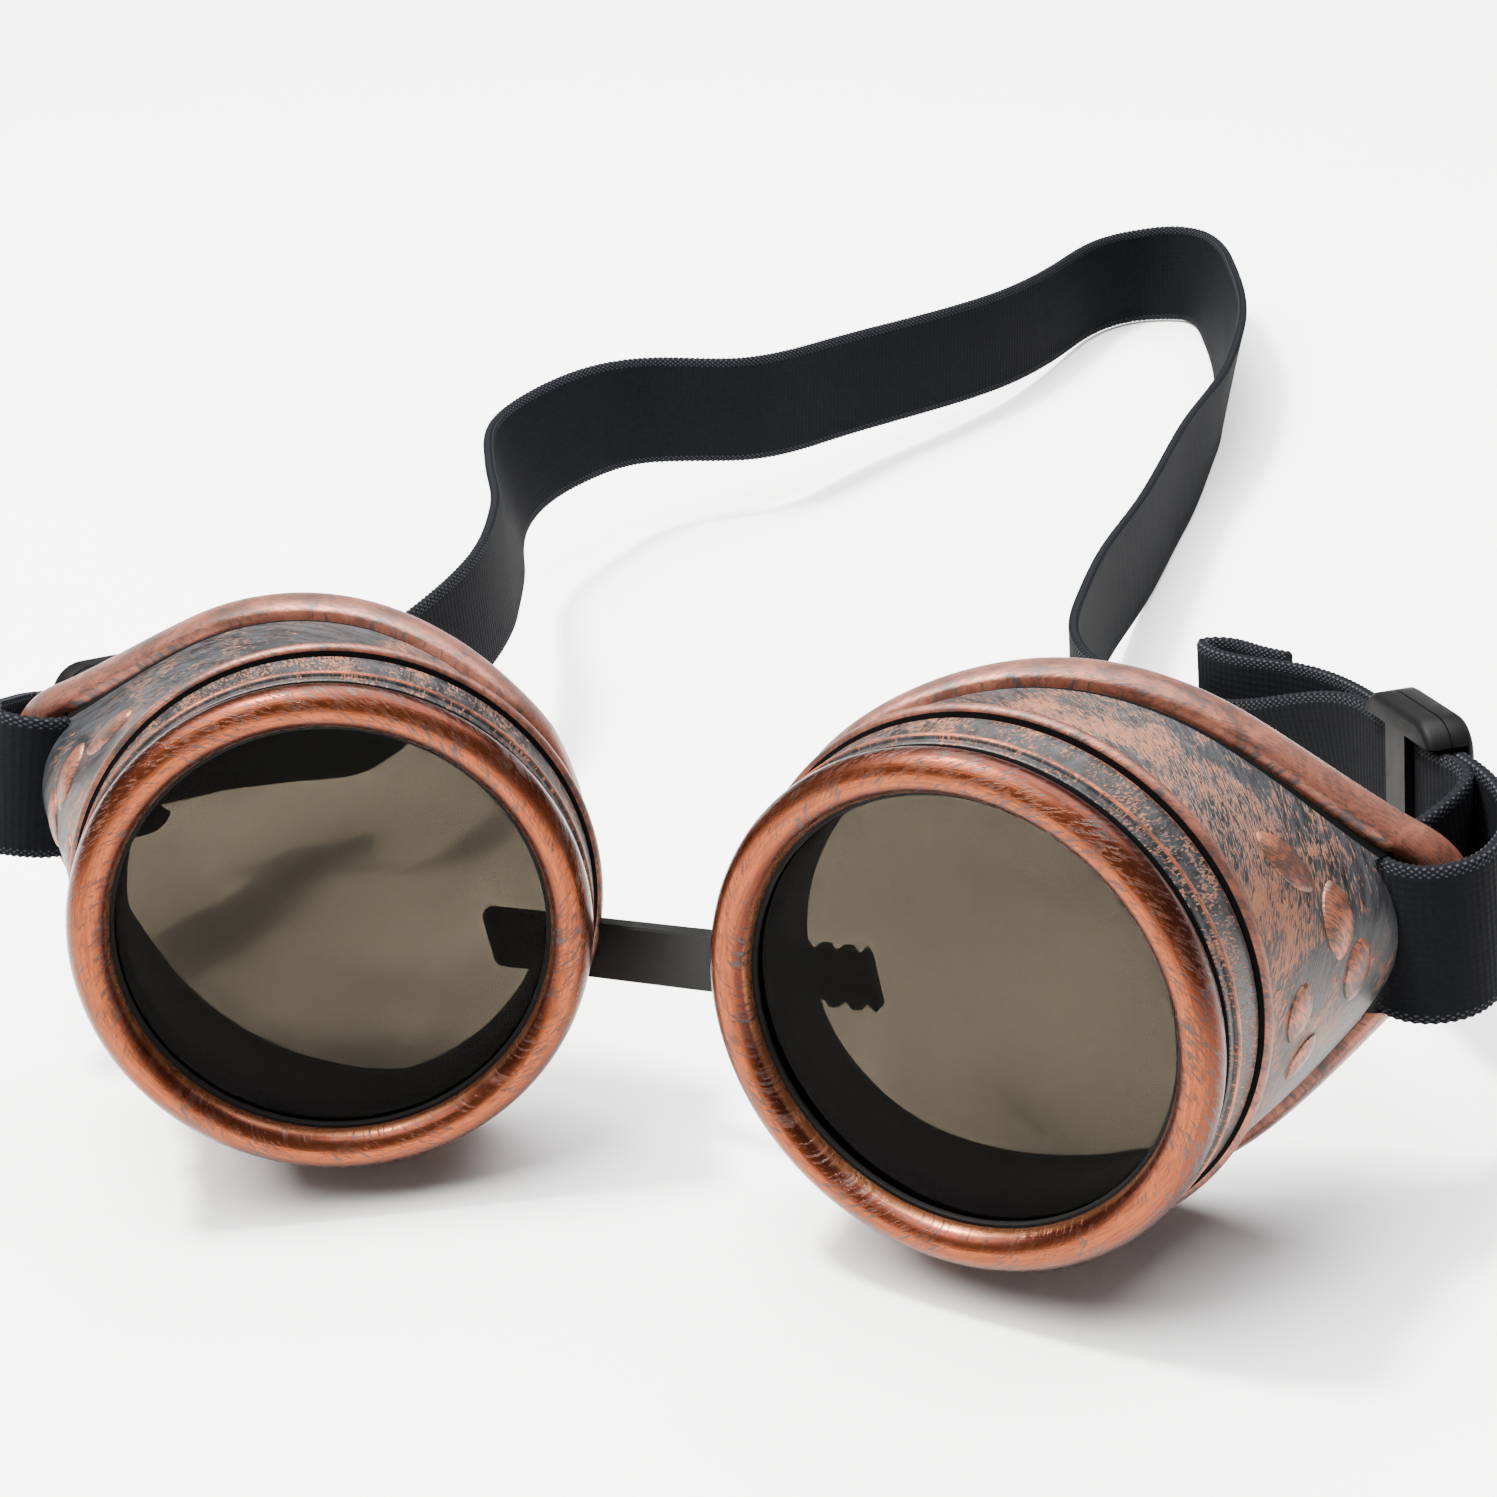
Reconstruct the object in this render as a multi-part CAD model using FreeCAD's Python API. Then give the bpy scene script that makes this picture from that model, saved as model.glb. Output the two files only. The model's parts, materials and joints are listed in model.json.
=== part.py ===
"""Round-lens welding goggles with screw-on lens caps, a nose strip and an elastic headband.

Millimetres, +Z up.  The goggles stand on their eye-side rims with the lenses facing -Y, and the headband
trails behind on the same surface.  Left and right are as seen from the front: left is -X.
The origin is the bottom centre of the whole object's box.

Each eye cup is drawn once in its own frame and then placed: X runs towards the temple, Y backwards along
the lens axis from the front of the cap, Z up.  The left side is the mirror image of the right.
"""
import FreeCAD, Part
import math
import os

os.makedirs("parts", exist_ok=True)
V = FreeCAD.Vector
UP = V(0, 0, 1)

# ---- where things stand ------------------------------------------------------------------------------
ORIGIN_SHIFT = V(4.6, -139.1, 0)          # puts the origin at the bottom centre of the box
CUP_SPACING = 70.9                        # between the centres of the two cap fronts
CUPS = {                                  # yaw, pitch and roll in degrees, height of the front centre
    "left": dict(side=-1, yaw=24.0, pitch=-8.0, roll=13.5, height=34.3),
    "right": dict(side=1, yaw=-9.0, pitch=-8.0, roll=-5.0, height=34.7),
}

# ---- screw cap and lens stack, measured back from the front of the cap --------------------------------
LIP_R, LIP_TUBE = 29.0, 2.35              # rounded front lip; the stack starts just behind its middle
STACK_PLAY = 0.05                         # the front gasket stands this far clear of the lip
OPENING_R = LIP_R - 2 * LIP_TUBE
LENS_R = 25.0
STACK = [                                 # name, thickness and radius of the hole, if any
    ("front_gasket", 0.8, 23.8), ("tinted_lens", 2.5, 0), ("clear_lens", 1.5, 0), ("seat_gasket", 1.0, 23.7)]
SPIGOT_Y = LIP_TUBE + STACK_PLAY + sum(thickness for _, thickness, _ in STACK)
POCKET_R = LENS_R + 0.2
SPIGOT_R, SPIGOT_BORE_R = 27.0, 23.9      # threaded front of the eye cup
CAP_BORE_R = SPIGOT_R + 0.1
CAP_BACK_Y = 11.5
LIP_BACK_ANGLE = 50.0                     # how far the lip's round goes on behind its widest point
GROOVE_BACK_Y = 4.8
SKIRT_R, SKIRT_BACK_R = 28.6, 29.2
RIDGE_Y, RIDGE_W, RIDGE_R = 6.2, 0.6, 29.1
CHAMFER = 0.2
POCKET_STEP = 0.3                         # the lens pocket ends this far in front of the spigot

# ---- eye cup ------------------------------------------------------------------------------------------
FLANGE_Y, FLANGE_W, FLANGE_R = CAP_BACK_Y + 0.4, 2.0, 30.2
CONE_Y, CONE_R = FLANGE_Y + FLANGE_W, 29.2
EGG_Y, EGG_X, EGG_R = 46.0, 1.5, 30.9     # plane, centre and radius of the egg-shaped outline's nasal end
TIP_X, TIP_Z, TIP_R = 31.0, 2.5, 10.5     # its temple end, a little higher
SPLIT_ANGLE, TIP_ANGLE = 50.0, 12.0       # where the round front is divided to match the outline
WALL = 2.0
RIM_DEPTHS = [(-40, 18.4), (-28, 19.0), (-17, 20.6), (-8, 23.8), (0, 27.0), (20, 34.0), (46, 47.0)]
BEAD_PROUD, BEAD_LONG = 1.5, 4.2
SLOT_Y0, SLOT_Y1, SLOT_HALF = 32.4, 37.4, 10.8     # slot for the headband, in front of the temple bar
RELIEF_X, RELIEF_HALF = 35.0, 9.7         # flat relief for the strap on the inner side of the bar
VENT_PROUD, VENT_FALL = 1.2, 0.35         # the wall falls away by about this much per mm of height
VENTS = [(12.9, 22.3, 3.4), (5.4, 25.6, 2.9), (-0.5, 26.5, 2.8), (-1.8, 18.0, 2.9), (-7.9, 21.2, 2.6)]

# ---- nose strip ---------------------------------------------------------------------------------------
STRIP_W, STRIP_T = 7.5, 1.8
STRIP_ENTERS_LEFT, STRIP_ENTERS_RIGHT = (-17.35, 23.75, 21.6), (10.26, 17.15, 26.7)
STRIP_IN_LEFT, STRIP_IN_RIGHT = 13.0, 13.5     # how far each end reaches past its slot
STRIP_SLOT_W, STRIP_SLOT_T, SLOT_REACH = 9.2, 2.8, 7.0
NOTCH_PITCH, NOTCH_R, NOTCHES = 3.0, 0.9, 3

# ---- headband -----------------------------------------------------------------------------------------
BAND_W, BAND_T = 18.0, 1.5
LAYER = 0.9                               # half the distance between the two layers in the glide
GLIDE_START, GLIDE_DIR = V(38.5, 55.5, 0), V(-0.68, 0.7332, 0)
GLIDE_OUT = V(0.7332, 0.68, 0)            # away from the head
STRAIGHT = 30.0
GLIDE_LONG, GLIDE_WIDE, GLIDE_THICK, GLIDE_ROUND = 18.0, 24.5, 5.8, 4.0
GLIDE_BAR, GLIDE_MIDDLE = 5.0, 5.0        # lengths of its end bars and of its centre bar along the strap
GLIDE_SIDE_PLAY, GLIDE_PLAY = 0.6, 0.25   # clearances round the band in the slider
GLIDE_AT = {"left": 10.0, "right": 15.0}   # its centre along the straight run
RISE = {"left": -5.0, "right": 3.0}       # how much higher the run stands than the slot
TAIL = {"left": [V(12.0, 82.0, 0)], "right": [V(6.0, 86.5, 0), V(-7.0, 91.0, 0)]}
LOOP = [(43.0, 50.2, 0.7), (44.6, 42.5, 0.35), (42.6, 36.2, 0.1), (38.0, 34.0, 0), (33.8, 36.2, 0),
        (33.7, 41.9, 0), (36.6, 48.7, 0.5)]      # round the temple bar: x, y and share of the rise
HEM, HEM_GAP = 11.0, 1.6
STITCH_R, STITCHES, STITCH_PROUD = 0.3, 7, 0.2
STITCH_ROW, STITCH_EDGE = 9.0, 1.5        # the row's distance from the fold, and from the band's edges
BAND_ROUTE = [                            # x, y, height of the lower edge, outward lean of the upper edge
    (-67.5, 68.5, 15.0, 0), (-63.0, 78.0, 16.0, 0), (-61.5, 95.0, 16.5, 0),
    (-66.0, 113.0, 16.0, 1), (-74.0, 131.0, 15.0, 3), (-80.5, 147.5, 14.5, 4), (-78.0, 166.0, 14.0, 3),
    (-70.0, 181.0, 12.0, 1), (-58.0, 187.0, 10.0, 0), (-47.0, 206.0, 7.0, 0), (-37.0, 224.0, 5.0, 0),
    (-28.0, 242.0, 3.0, 0), (-22.5, 266.0, 1.0, 0), (-15.5, 285.5, 0.2, 0), (-5.0, 289.5, 0.1, 2),
    (4.5, 274.5, 0.1, 4), (11.5, 252.0, 0.1, 4.5), (15.5, 225.0, 0.1, 3), (15.5, 195.0, 0.1, 0),
    (16.0, 165.0, 1.0, 0), (16.5, 140.0, 4.0, 0), (18.0, 121.0, 6.0, 0), (21.5, 105.0, 7.5, 0),
    (29.0, 94.5, 8.8, 0), (39.5, 86.4, 10.5, 0), (50.0, 81.0, 13.0, 0)]
ARC_STEP = math.radians(12)


def box(x0, x1, y0, y1, z0, z1):
    return Part.makeBox(x1 - x0, y1 - y0, z1 - z0, V(x0, y0, z0))


def cylinder(radius, y0, y1):
    return Part.makeCylinder(radius, y1 - y0, V(0, y0, 0), V(0, 1, 0))


def ring(outer, inner, y0, y1):
    return cylinder(outer, y0, y1).cut(cylinder(inner, y0 - 1, y1 + 1))


def line(a, b):
    return Part.LineSegment(a, b).toShape()


def arc(a, b, c):
    return Part.Arc(a, b, c).toShape()


def on_circle(centre_x, radius, degrees, y=0.0, centre_z=0.0):
    turn = math.radians(degrees)
    return V(centre_x + radius * math.cos(turn), y, centre_z + radius * math.sin(turn))


# ---- screw cap and lens stack -------------------------------------------------------------------------
def screw_cap():
    """A ring turned about the lens axis; in its outline X is the radius and Y the depth."""
    middle = LIP_R - LIP_TUBE

    def lip(degrees):
        turn = math.radians(degrees)
        return V(middle + LIP_TUBE * math.cos(turn), LIP_TUBE + LIP_TUBE * math.sin(turn), 0)

    back, pocket_back = lip(LIP_BACK_ANGLE), SPIGOT_Y - POCKET_STEP
    outline = [back, V(back.x, GROOVE_BACK_Y - CHAMFER, 0), V(SKIRT_R, GROOVE_BACK_Y, 0),
               V(SKIRT_R, RIDGE_Y, 0), V(RIDGE_R, RIDGE_Y + CHAMFER, 0), V(RIDGE_R, RIDGE_Y + RIDGE_W, 0),
               V(SKIRT_R, RIDGE_Y + RIDGE_W + CHAMFER, 0), V(SKIRT_BACK_R, CAP_BACK_Y, 0),
               V(CAP_BORE_R, CAP_BACK_Y, 0), V(CAP_BORE_R, pocket_back, 0), V(POCKET_R, pocket_back, 0),
               V(POCKET_R, LIP_TUBE, 0), V(OPENING_R, LIP_TUBE, 0)]
    edges = [arc(lip(180), lip(270), lip(360)), arc(lip(0), lip(LIP_BACK_ANGLE / 2), back)]
    edges += [line(a, b) for a, b in zip(outline, outline[1:])]
    return Part.Face(Part.Wire(edges)).revolve(V(0, 0, 0), V(0, 1, 0), 360)


def lens_stack():
    """Front to back between the lip and the spigot: gasket, tinted lens, clear lens, gasket."""
    front = LIP_TUBE + STACK_PLAY
    pieces = {}
    for name, thickness, bore in STACK:
        back = front + thickness
        pieces[name] = ring(LENS_R, bore, front, back) if bore else cylinder(LENS_R, front, back)
        front = back
    return pieces


# ---- eye cup ------------------------------------------------------------------------------------------
def round_outline(radius, y):
    """A circle in four arcs: nasal side, top, temple tip, bottom."""
    stops = [SPLIT_ANGLE, 360 - SPLIT_ANGLE, 360 - TIP_ANGLE, 360 + TIP_ANGLE, 360 + SPLIT_ANGLE]
    return Part.Wire([arc(on_circle(0, radius, a, y), on_circle(0, radius, (a + b) / 2, y),
                          on_circle(0, radius, b, y)) for a, b in zip(stops, stops[1:])])


def egg_outline(grow, y):
    """A large nasal arc and a small temple arc joined by their tangents, in the same four pieces."""
    big, small = EGG_R + grow, TIP_R + grow
    lean = math.degrees(math.atan2(TIP_Z, TIP_X - EGG_X))
    tangent = math.degrees(math.acos((big - small) / math.hypot(TIP_X - EGG_X, TIP_Z)))
    high, low = lean + tangent, lean - tangent
    top, bottom = on_circle(EGG_X, big, high, y), on_circle(EGG_X, big, low, y)
    tip_top, tip_bottom = on_circle(TIP_X, small, high, y, TIP_Z), on_circle(TIP_X, small, low, y, TIP_Z)
    return Part.Wire([arc(top, on_circle(EGG_X, big, lean + 180, y), bottom), line(bottom, tip_bottom),
                      arc(tip_bottom, on_circle(TIP_X, small, lean, y, TIP_Z), tip_top), line(tip_top, top)])


def cone(grow):
    """The flaring body, larger or smaller all round by grow."""
    return Part.makeLoft([round_outline(CONE_R + grow, CONE_Y), egg_outline(grow, EGG_Y)], True, True)


def behind_rim(shift):
    """Everything behind the curved eye-side edge, moved forward by shift."""
    curve = Part.BSplineCurve()
    curve.interpolate([V(x, y - shift, -60) for x, y in RIM_DEPTHS])
    first, last = curve.StartPoint, curve.EndPoint
    corners = [last, V(last.x, 90, -60), V(first.x, 90, -60), first]
    edges = [curve.toShape()] + [line(a, b) for a, b in zip(corners, corners[1:])]
    return Part.Face(Part.Wire(edges)).extrude(V(0, 0, 120))


def vent(height, depth, radius):
    """A raised boss on the temple side of the cone, at a height and a depth."""
    reach = CONE_R + (depth - CONE_Y) * (TIP_X + TIP_R - CONE_R) / (EGG_Y - CONE_Y)
    length = reach + VENT_PROUD - abs(height) * VENT_FALL
    return Part.makeCylinder(radius, length, V(0, depth, height), V(1, 0, 0))


def eye_cup():
    rim = behind_rim(0)
    shell = cone(0).cut(rim)
    bead = cone(BEAD_PROUD).common(behind_rim(BEAD_LONG)).cut(rim)
    front = ring(FLANGE_R, SPIGOT_BORE_R, FLANGE_Y, CONE_Y + 0.5).fuse(
        ring(SPIGOT_R, SPIGOT_BORE_R, SPIGOT_Y, FLANGE_Y))
    bosses = [vent(*place).common(cone(VENT_PROUD)) for place in VENTS]
    body = shell.fuse([bead, front] + bosses)
    body = body.cut(cone(-WALL).fuse(cylinder(SPIGOT_BORE_R, 0, CONE_Y + 5)))
    temple_slot = box(27, 60, SLOT_Y0, SLOT_Y1, -SLOT_HALF, SLOT_HALF)
    relief = box(20, RELIEF_X, SLOT_Y0, 60, -RELIEF_HALF, RELIEF_HALF)
    return body.cut([temple_slot, relief]).removeSplitter()


# ---- straps -------------------------------------------------------------------------------------------
def rounded(route):
    """Points and directions along straight runs joined by tangent arcs as large as the runs allow."""
    stations = [(route[0], (route[1] - route[0]).normalize())]
    radii = []
    for before, corner, after in zip(route, route[1:], route[2:]):
        d_in, d_out = (corner - before).normalize(), (after - corner).normalize()
        turn = d_in.getAngle(d_out)
        reach = 0.45 * min((corner - before).Length, (after - corner).Length)
        radii.append(reach / math.tan(turn / 2))
        axis = d_in.cross(d_out)
        steps = max(1, math.ceil(turn / ARC_STEP))
        start = corner - d_in * reach
        towards = axis.cross(d_in).normalize()
        for step in range(steps + 1):
            angle = turn * step / steps
            ahead, aside = radii[-1] * math.sin(angle), radii[-1] * (1 - math.cos(angle))
            point = start + d_in * ahead + towards * aside
            heading = d_in * math.cos(angle) + towards * math.sin(angle)
            stations.append((point, heading))
    stations.append((route[-1], (route[-1] - route[-2]).normalize()))
    return stations, radii


def strap(stations, leans, width, thickness):
    """A flat band on edge through the stations; a lean moves its upper edge sideways."""
    sections = []
    for (point, heading), lean in zip(stations, leans):
        upright = UP + UP.cross(heading).normalize() * (lean / width)
        upright = (upright - heading * upright.dot(heading)).normalize()
        side = heading.cross(upright).normalize()
        half, edge = side * (thickness / 2), upright * (width / 2)
        corners = [point - half - edge, point + half - edge, point + half + edge, point - half + edge]
        sections.append(Part.makePolygon(corners + corners[:1]))
    return Part.makeLoft(sections, True, True)


def level_strap(route, width=BAND_W, thickness=BAND_T):
    stations, radii = rounded(route)
    return strap(stations, [0] * len(stations), width, thickness), radii


def headband():
    """The long free part of the band, behind the cups; it comes down to the surface at its far end."""
    route = [V(x, y, z + BAND_W / 2) for x, y, z, _ in BAND_ROUTE]
    stations, radii = rounded(route)
    leans = []
    for point, _ in stations:
        nearest = min(range(len(route)), key=lambda i: (route[i] - point).Length)
        leans.append(BAND_ROUTE[nearest][3])
    return strap(stations, leans, BAND_W, BAND_T), radii


def strap_loop(side):
    """Tail, glide run, round the temple bar through the slot, and back through the glide."""
    run, rise = GLIDE_DIR * STRAIGHT, UP * RISE[side]
    outer, inner = GLIDE_START + GLIDE_OUT * LAYER + rise, GLIDE_START - GLIDE_OUT * LAYER + rise
    tail = [point + rise for point in reversed(TAIL[side])]
    loop = [V(x, y, share * RISE[side]) for x, y, share in LOOP]
    route = tail + [outer + run, outer] + loop + [inner, inner + run]
    band, radii = level_strap(route)
    end, heading = route[0], (route[0] - route[1]).normalize()
    fold = heading.cross(UP) * (BAND_T + HEM_GAP)
    flap = strap([(end + fold, -heading), (end + fold - heading * HEM, -heading)], [0, 0], BAND_W, BAND_T)
    foot = end + fold * 0.5 - UP * (BAND_W / 2)
    turn = Part.makeCylinder(HEM_GAP / 2 + BAND_T, BAND_W, foot, UP)
    turn = turn.cut(Part.makeCylinder(HEM_GAP / 2, BAND_W, foot, UP))
    half = Part.makeBox(10, 20, BAND_W, V(0, -10, -BAND_W / 2))
    half.Placement = FreeCAD.Placement(end + fold * 0.5, FreeCAD.Rotation(V(1, 0, 0), heading))
    stitches = []
    for row in range(STITCHES):
        height = (row / (STITCHES - 1) - 0.5) * (BAND_W - 2 * STITCH_EDGE)
        start = end - heading * STITCH_ROW - fold.normalize() * (BAND_T / 2 + STITCH_PROUD) + UP * height
        stitches.append(Part.makeCylinder(STITCH_R, 2 * (BAND_T + STITCH_PROUD) + HEM_GAP, start, fold))
    stitches = Part.makeCompound(stitches)
    return band.fuse([turn.common(half), flap]).cut(stitches), stitches, radii


def tri_glide():
    """Two side rails, two end bars on the outer side (-Y) and a centre bar on the inner side."""
    half_l, half_w, half_t = GLIDE_LONG / 2, GLIDE_WIDE / 2, GLIDE_THICK / 2
    window, gap = BAND_W / 2 + GLIDE_SIDE_PLAY, LAYER + BAND_T / 2 + GLIDE_PLAY
    plate = box(-half_l, half_l, -half_t, half_t, -half_w, half_w)
    corners = [edge for edge in plate.Edges if abs(edge.Vertexes[0].Y - edge.Vertexes[1].Y) > half_t]
    plate = plate.makeFillet(GLIDE_ROUND, corners)
    tunnel = box(-half_l - 1, half_l + 1, -gap, gap, -window, window)
    outer = box(-half_l + GLIDE_BAR, half_l - GLIDE_BAR, -half_t - 1, 0, -window, window)
    ends = [box(x0, x1, 0, half_t + 1, -window, window)
            for x0, x1 in ((-half_l - 1, -GLIDE_MIDDLE / 2), (GLIDE_MIDDLE / 2, half_l + 1))]
    return plate.cut([tunnel, outer] + ends)


def placed_glide(side):
    glide = tri_glide()
    centre = GLIDE_START + GLIDE_DIR * GLIDE_AT[side] + UP * RISE[side]
    glide.Placement = FreeCAD.Placement(centre, FreeCAD.Rotation(V(1, 0, 0), GLIDE_DIR))
    return glide


# ---- placing and writing ------------------------------------------------------------------------------
def cup_placement(cup):
    turn = (FreeCAD.Rotation(UP, cup["yaw"]) * FreeCAD.Rotation(V(1, 0, 0), cup["pitch"])
            * FreeCAD.Rotation(V(0, 1, 0), cup["roll"]))
    return FreeCAD.Placement(V(cup["side"] * CUP_SPACING / 2, 0, cup["height"]), turn)


def place(shape, cup):
    if cup["side"] < 0:
        shape = shape.mirror(V(0, 0, 0), V(1, 0, 0))
    moved = shape.copy()
    moved.Placement = cup_placement(cup).multiply(moved.Placement)
    return moved


def strip_line():
    """Where the straight nose strip enters each cup, and its direction from left to right."""
    left, right = V(*STRIP_ENTERS_LEFT), V(*STRIP_ENTERS_RIGHT)
    return left, right, (right - left).normalize()


def strip_bar(width, thickness, start, length):
    """A flat bar on edge along the strip's line, from a distance before the left slot."""
    left, _, heading = strip_line()
    bar = box(0, length, -thickness / 2, thickness / 2, -width / 2, width / 2)
    bar.Placement = FreeCAD.Placement(left + heading * start, FreeCAD.Rotation(heading, V(), UP, "XZY"))
    return bar


def strip_slots():
    """One short bar of clearance through the nasal wall of each cup."""
    left, right, _ = strip_line()
    slots = {"left": strip_bar(STRIP_SLOT_W, STRIP_SLOT_T, -SLOT_REACH, 2 * SLOT_REACH)}
    slots["right"] = strip_bar(STRIP_SLOT_W, STRIP_SLOT_T, (right - left).Length - SLOT_REACH, 2 * SLOT_REACH)
    return slots


def nose_strip():
    """A straight flat strip from inside one cup to inside the other; its right end is notched."""
    left, right, heading = strip_line()
    length = STRIP_IN_LEFT + (right - left).Length + STRIP_IN_RIGHT
    bar = strip_bar(STRIP_W, STRIP_T, -STRIP_IN_LEFT, length)
    for notch in range(NOTCHES):
        for edge in (1, -1):
            reach = length - STRIP_IN_LEFT - NOTCH_PITCH * (notch + 0.5)
            centre = left + heading * reach + UP * (edge * STRIP_W / 2)
            bar = bar.cut(Part.makeCylinder(NOTCH_R, 12, centre - V(0, 6, 0), V(0, 1, 0)))
    return bar


def write(name, shape):
    shape = shape.copy()
    shape.translate(ORIGIN_SHIFT)
    assert shape.isValid(), name
    shape.exportStep("parts/" + name + ".step")
    print(name, len(shape.Solids), "solid(s)", round(shape.Volume, 1), "mm3")
    return shape


def build():
    cap, stack, cup, slots = screw_cap(), lens_stack(), eye_cup(), strip_slots()
    written = []
    for side, pose in CUPS.items():
        loop, stitches, radii = strap_loop(side)
        print(side, "loop radii", [round(r, 1) for r in radii])
        pieces = {"screw_cap": cap, "strap_loop": loop, "hem_stitches": stitches,
                  "tri_glide": placed_glide(side), **stack}
        written.append(write(side + "_eye_cup", place(cup, pose).cut(slots[side])))
        for name, shape in pieces.items():
            written.append(write(side + "_" + name, place(shape, pose)))
    band, radii = headband()
    print("headband radii", [round(r, 1) for r in radii])
    written.append(write("headband", band))
    written.append(write("nose_strip", nose_strip()))
    bounds = Part.makeCompound(written).BoundBox
    print("size", round(bounds.XLength, 2), round(bounds.YLength, 2), round(bounds.ZLength, 2), "mm")


build()
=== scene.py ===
"""Looks of the welding goggles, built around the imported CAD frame.

Most shapes are drawn in the frame of one eye cup, in millimetres: X towards the temple, Y backwards along the
lens axis from the front of the cap, Z up.  The frames of the two cups come from the record's joints.
"""
import bisect
import json
import math

import bmesh
import bpy
from mathutils import Matrix, Vector
from mathutils.bvhtree import BVHTree


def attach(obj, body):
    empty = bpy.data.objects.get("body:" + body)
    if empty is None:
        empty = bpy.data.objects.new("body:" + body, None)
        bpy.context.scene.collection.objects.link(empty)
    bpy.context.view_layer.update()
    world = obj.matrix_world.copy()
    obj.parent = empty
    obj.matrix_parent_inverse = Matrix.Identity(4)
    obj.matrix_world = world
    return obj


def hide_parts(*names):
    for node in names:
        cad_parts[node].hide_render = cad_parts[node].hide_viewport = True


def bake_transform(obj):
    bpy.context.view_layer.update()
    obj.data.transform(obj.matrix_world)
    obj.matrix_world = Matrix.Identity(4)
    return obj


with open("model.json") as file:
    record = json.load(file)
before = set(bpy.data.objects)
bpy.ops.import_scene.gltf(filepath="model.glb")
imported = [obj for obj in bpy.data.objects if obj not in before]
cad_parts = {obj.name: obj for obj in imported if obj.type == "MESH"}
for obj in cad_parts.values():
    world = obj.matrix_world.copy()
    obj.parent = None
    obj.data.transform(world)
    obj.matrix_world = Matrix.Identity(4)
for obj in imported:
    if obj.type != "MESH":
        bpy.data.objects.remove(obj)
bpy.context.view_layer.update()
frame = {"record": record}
JOINTS = {joint["name"]: joint for joint in frame["record"]["behaviour"]["joints"]}
SIDES = {"left": -1, "right": 1}
MM = Matrix.Scale(0.001, 4)
ROOT = "band_and_strip"
SHARP = math.radians(38)

# ---- sizes in millimetres, as in the CAD unless a comment says otherwise ---------------------------------
LIP_R, LIP_TUBE = 29.0, 2.35               # outer radius of the rounded lip, and the radius of its section
LENS_R, BORE_R, SPIGOT_Y = 25.0, 23.9, 8.2
STACK_PLAY = 0.05                          # between the lip and the front gasket
LENS_GAP = 0.03                            # drawn in from each face, so that no two faces lie in one plane
CAP_BACK_Y, CAP_BORE_R, CAP_STEP_Y, POCKET_R = 11.5, 27.1, 7.9, 25.2
FLANGE_Y, FLANGE_R = 11.9, 30.2
CONE_Y, CONE_R = 13.9, 29.2                # the flared body's round front
EGG_Y, EGG_X, EGG_R = 46.0, 1.5, 30.9      # the egg outline that it flares to: its large end
TIP_X, TIP_Z, TIP_R = 31.0, 2.5, 10.5      # and its small end, at the temple
SPLIT, TIP_ANGLE = 50.0, 12.0              # angles on the front that match the ends of the egg's arcs
WALL = 2.0
THREAD_PITCH, THREAD_ROOT, THREAD_TALL = 3.0, 26.35, 0.55
THREAD_START, THREAD_FADE, THREAD_FLANK = 8.4, 0.6, 0.28
# the eye-side edge as (distance towards the temple, depth)
RIM_DEPTHS = [(-40, 18.4), (-28, 19.0), (-17, 20.6), (-8, 23.8), (0, 27.0), (20, 34.0), (46, 47.0)]
BEAD_LONG, BEAD_WIDER, BEAD_PROUD = 5.6, 0.4, 1.5    # the bead on the eye rim, wider by so much at the temple
BEAD_FADE, BEAD_FULLNESS = 0.85, 0.55      # how much lower it is at the nose, and how square its section is
GROOVE_LONG, GROOVE_DEEP = 0.9, 0.5        # the dark groove in front of the bead
TEMPLE_FADE, NOSE_FADE = (26.0, 36.0), (-21.0, -27.0)    # where the bead changes towards its ends
SLOT = ((27, 33.1, -8.9), (60, 36.3, 8.8))           # narrower than in the CAD, so that no gap shows
RELIEF = ((20, 33.5, -9.15), (35.0, 60, 9.15))
LEAVES = [  # height, depth, long axis, short axis, tilt of the long axis in degrees, raised centre
    (12.6, 22.6, 9.6, 4.3, -26, 0.6), (5.6, 25.4, 9.0, 4.5, 10, 0.6), (-0.6, 27.0, 7.6, 4.2, 14, 0.6),
    (-2.4, 18.6, 7.2, 3.8, 16, 0.55), (-8.6, 21.4, 6.4, 3.8, 20, 0.55)]
STRIP_W, STRIP_T, STRIP_BEFORE, STRIP_LONG = 7.5, 1.8, 13.0, 55.0
STRIP_SPAN, STRIP_ROUND = 28.4, 0.25       # between the two nasal slots, and round the strip's edges
STRIP_SLOT = (7.0, 1.4, 4.6)               # half the size of the cutter for a nasal slot
NOTCH_PITCH, NOTCH_R, NOTCHES = 3.0, 0.9, 3
BAND_W, BAND_T, LAYER, STRAIGHT = 18.0, 1.5, 0.9, 30.0
RIB = 0.86                                 # pitch of the webbing's ribs
STEP = RIB / 4                             # between the ribbon's sections
GLIDE_START = Vector((38.5, 55.5, 0))
GLIDE_DIR, GLIDE_OUT = Vector((-0.68, 0.7332, 0)), Vector((0.7332, 0.68, 0))
GLIDE_AT, RISE = {"left": 10.0, "right": 15.0}, {"left": -5.0, "right": 3.0}
GLIDE_LONG, GLIDE_WIDE, GLIDE_THICK, GLIDE_ROUND = 18.0, 24.5, 5.8, 4.0
GLIDE_BAR, GLIDE_MIDDLE, GLIDE_SIDE_PLAY, GLIDE_PLAY = 5.0, 5.0, 0.6, 0.25
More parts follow.
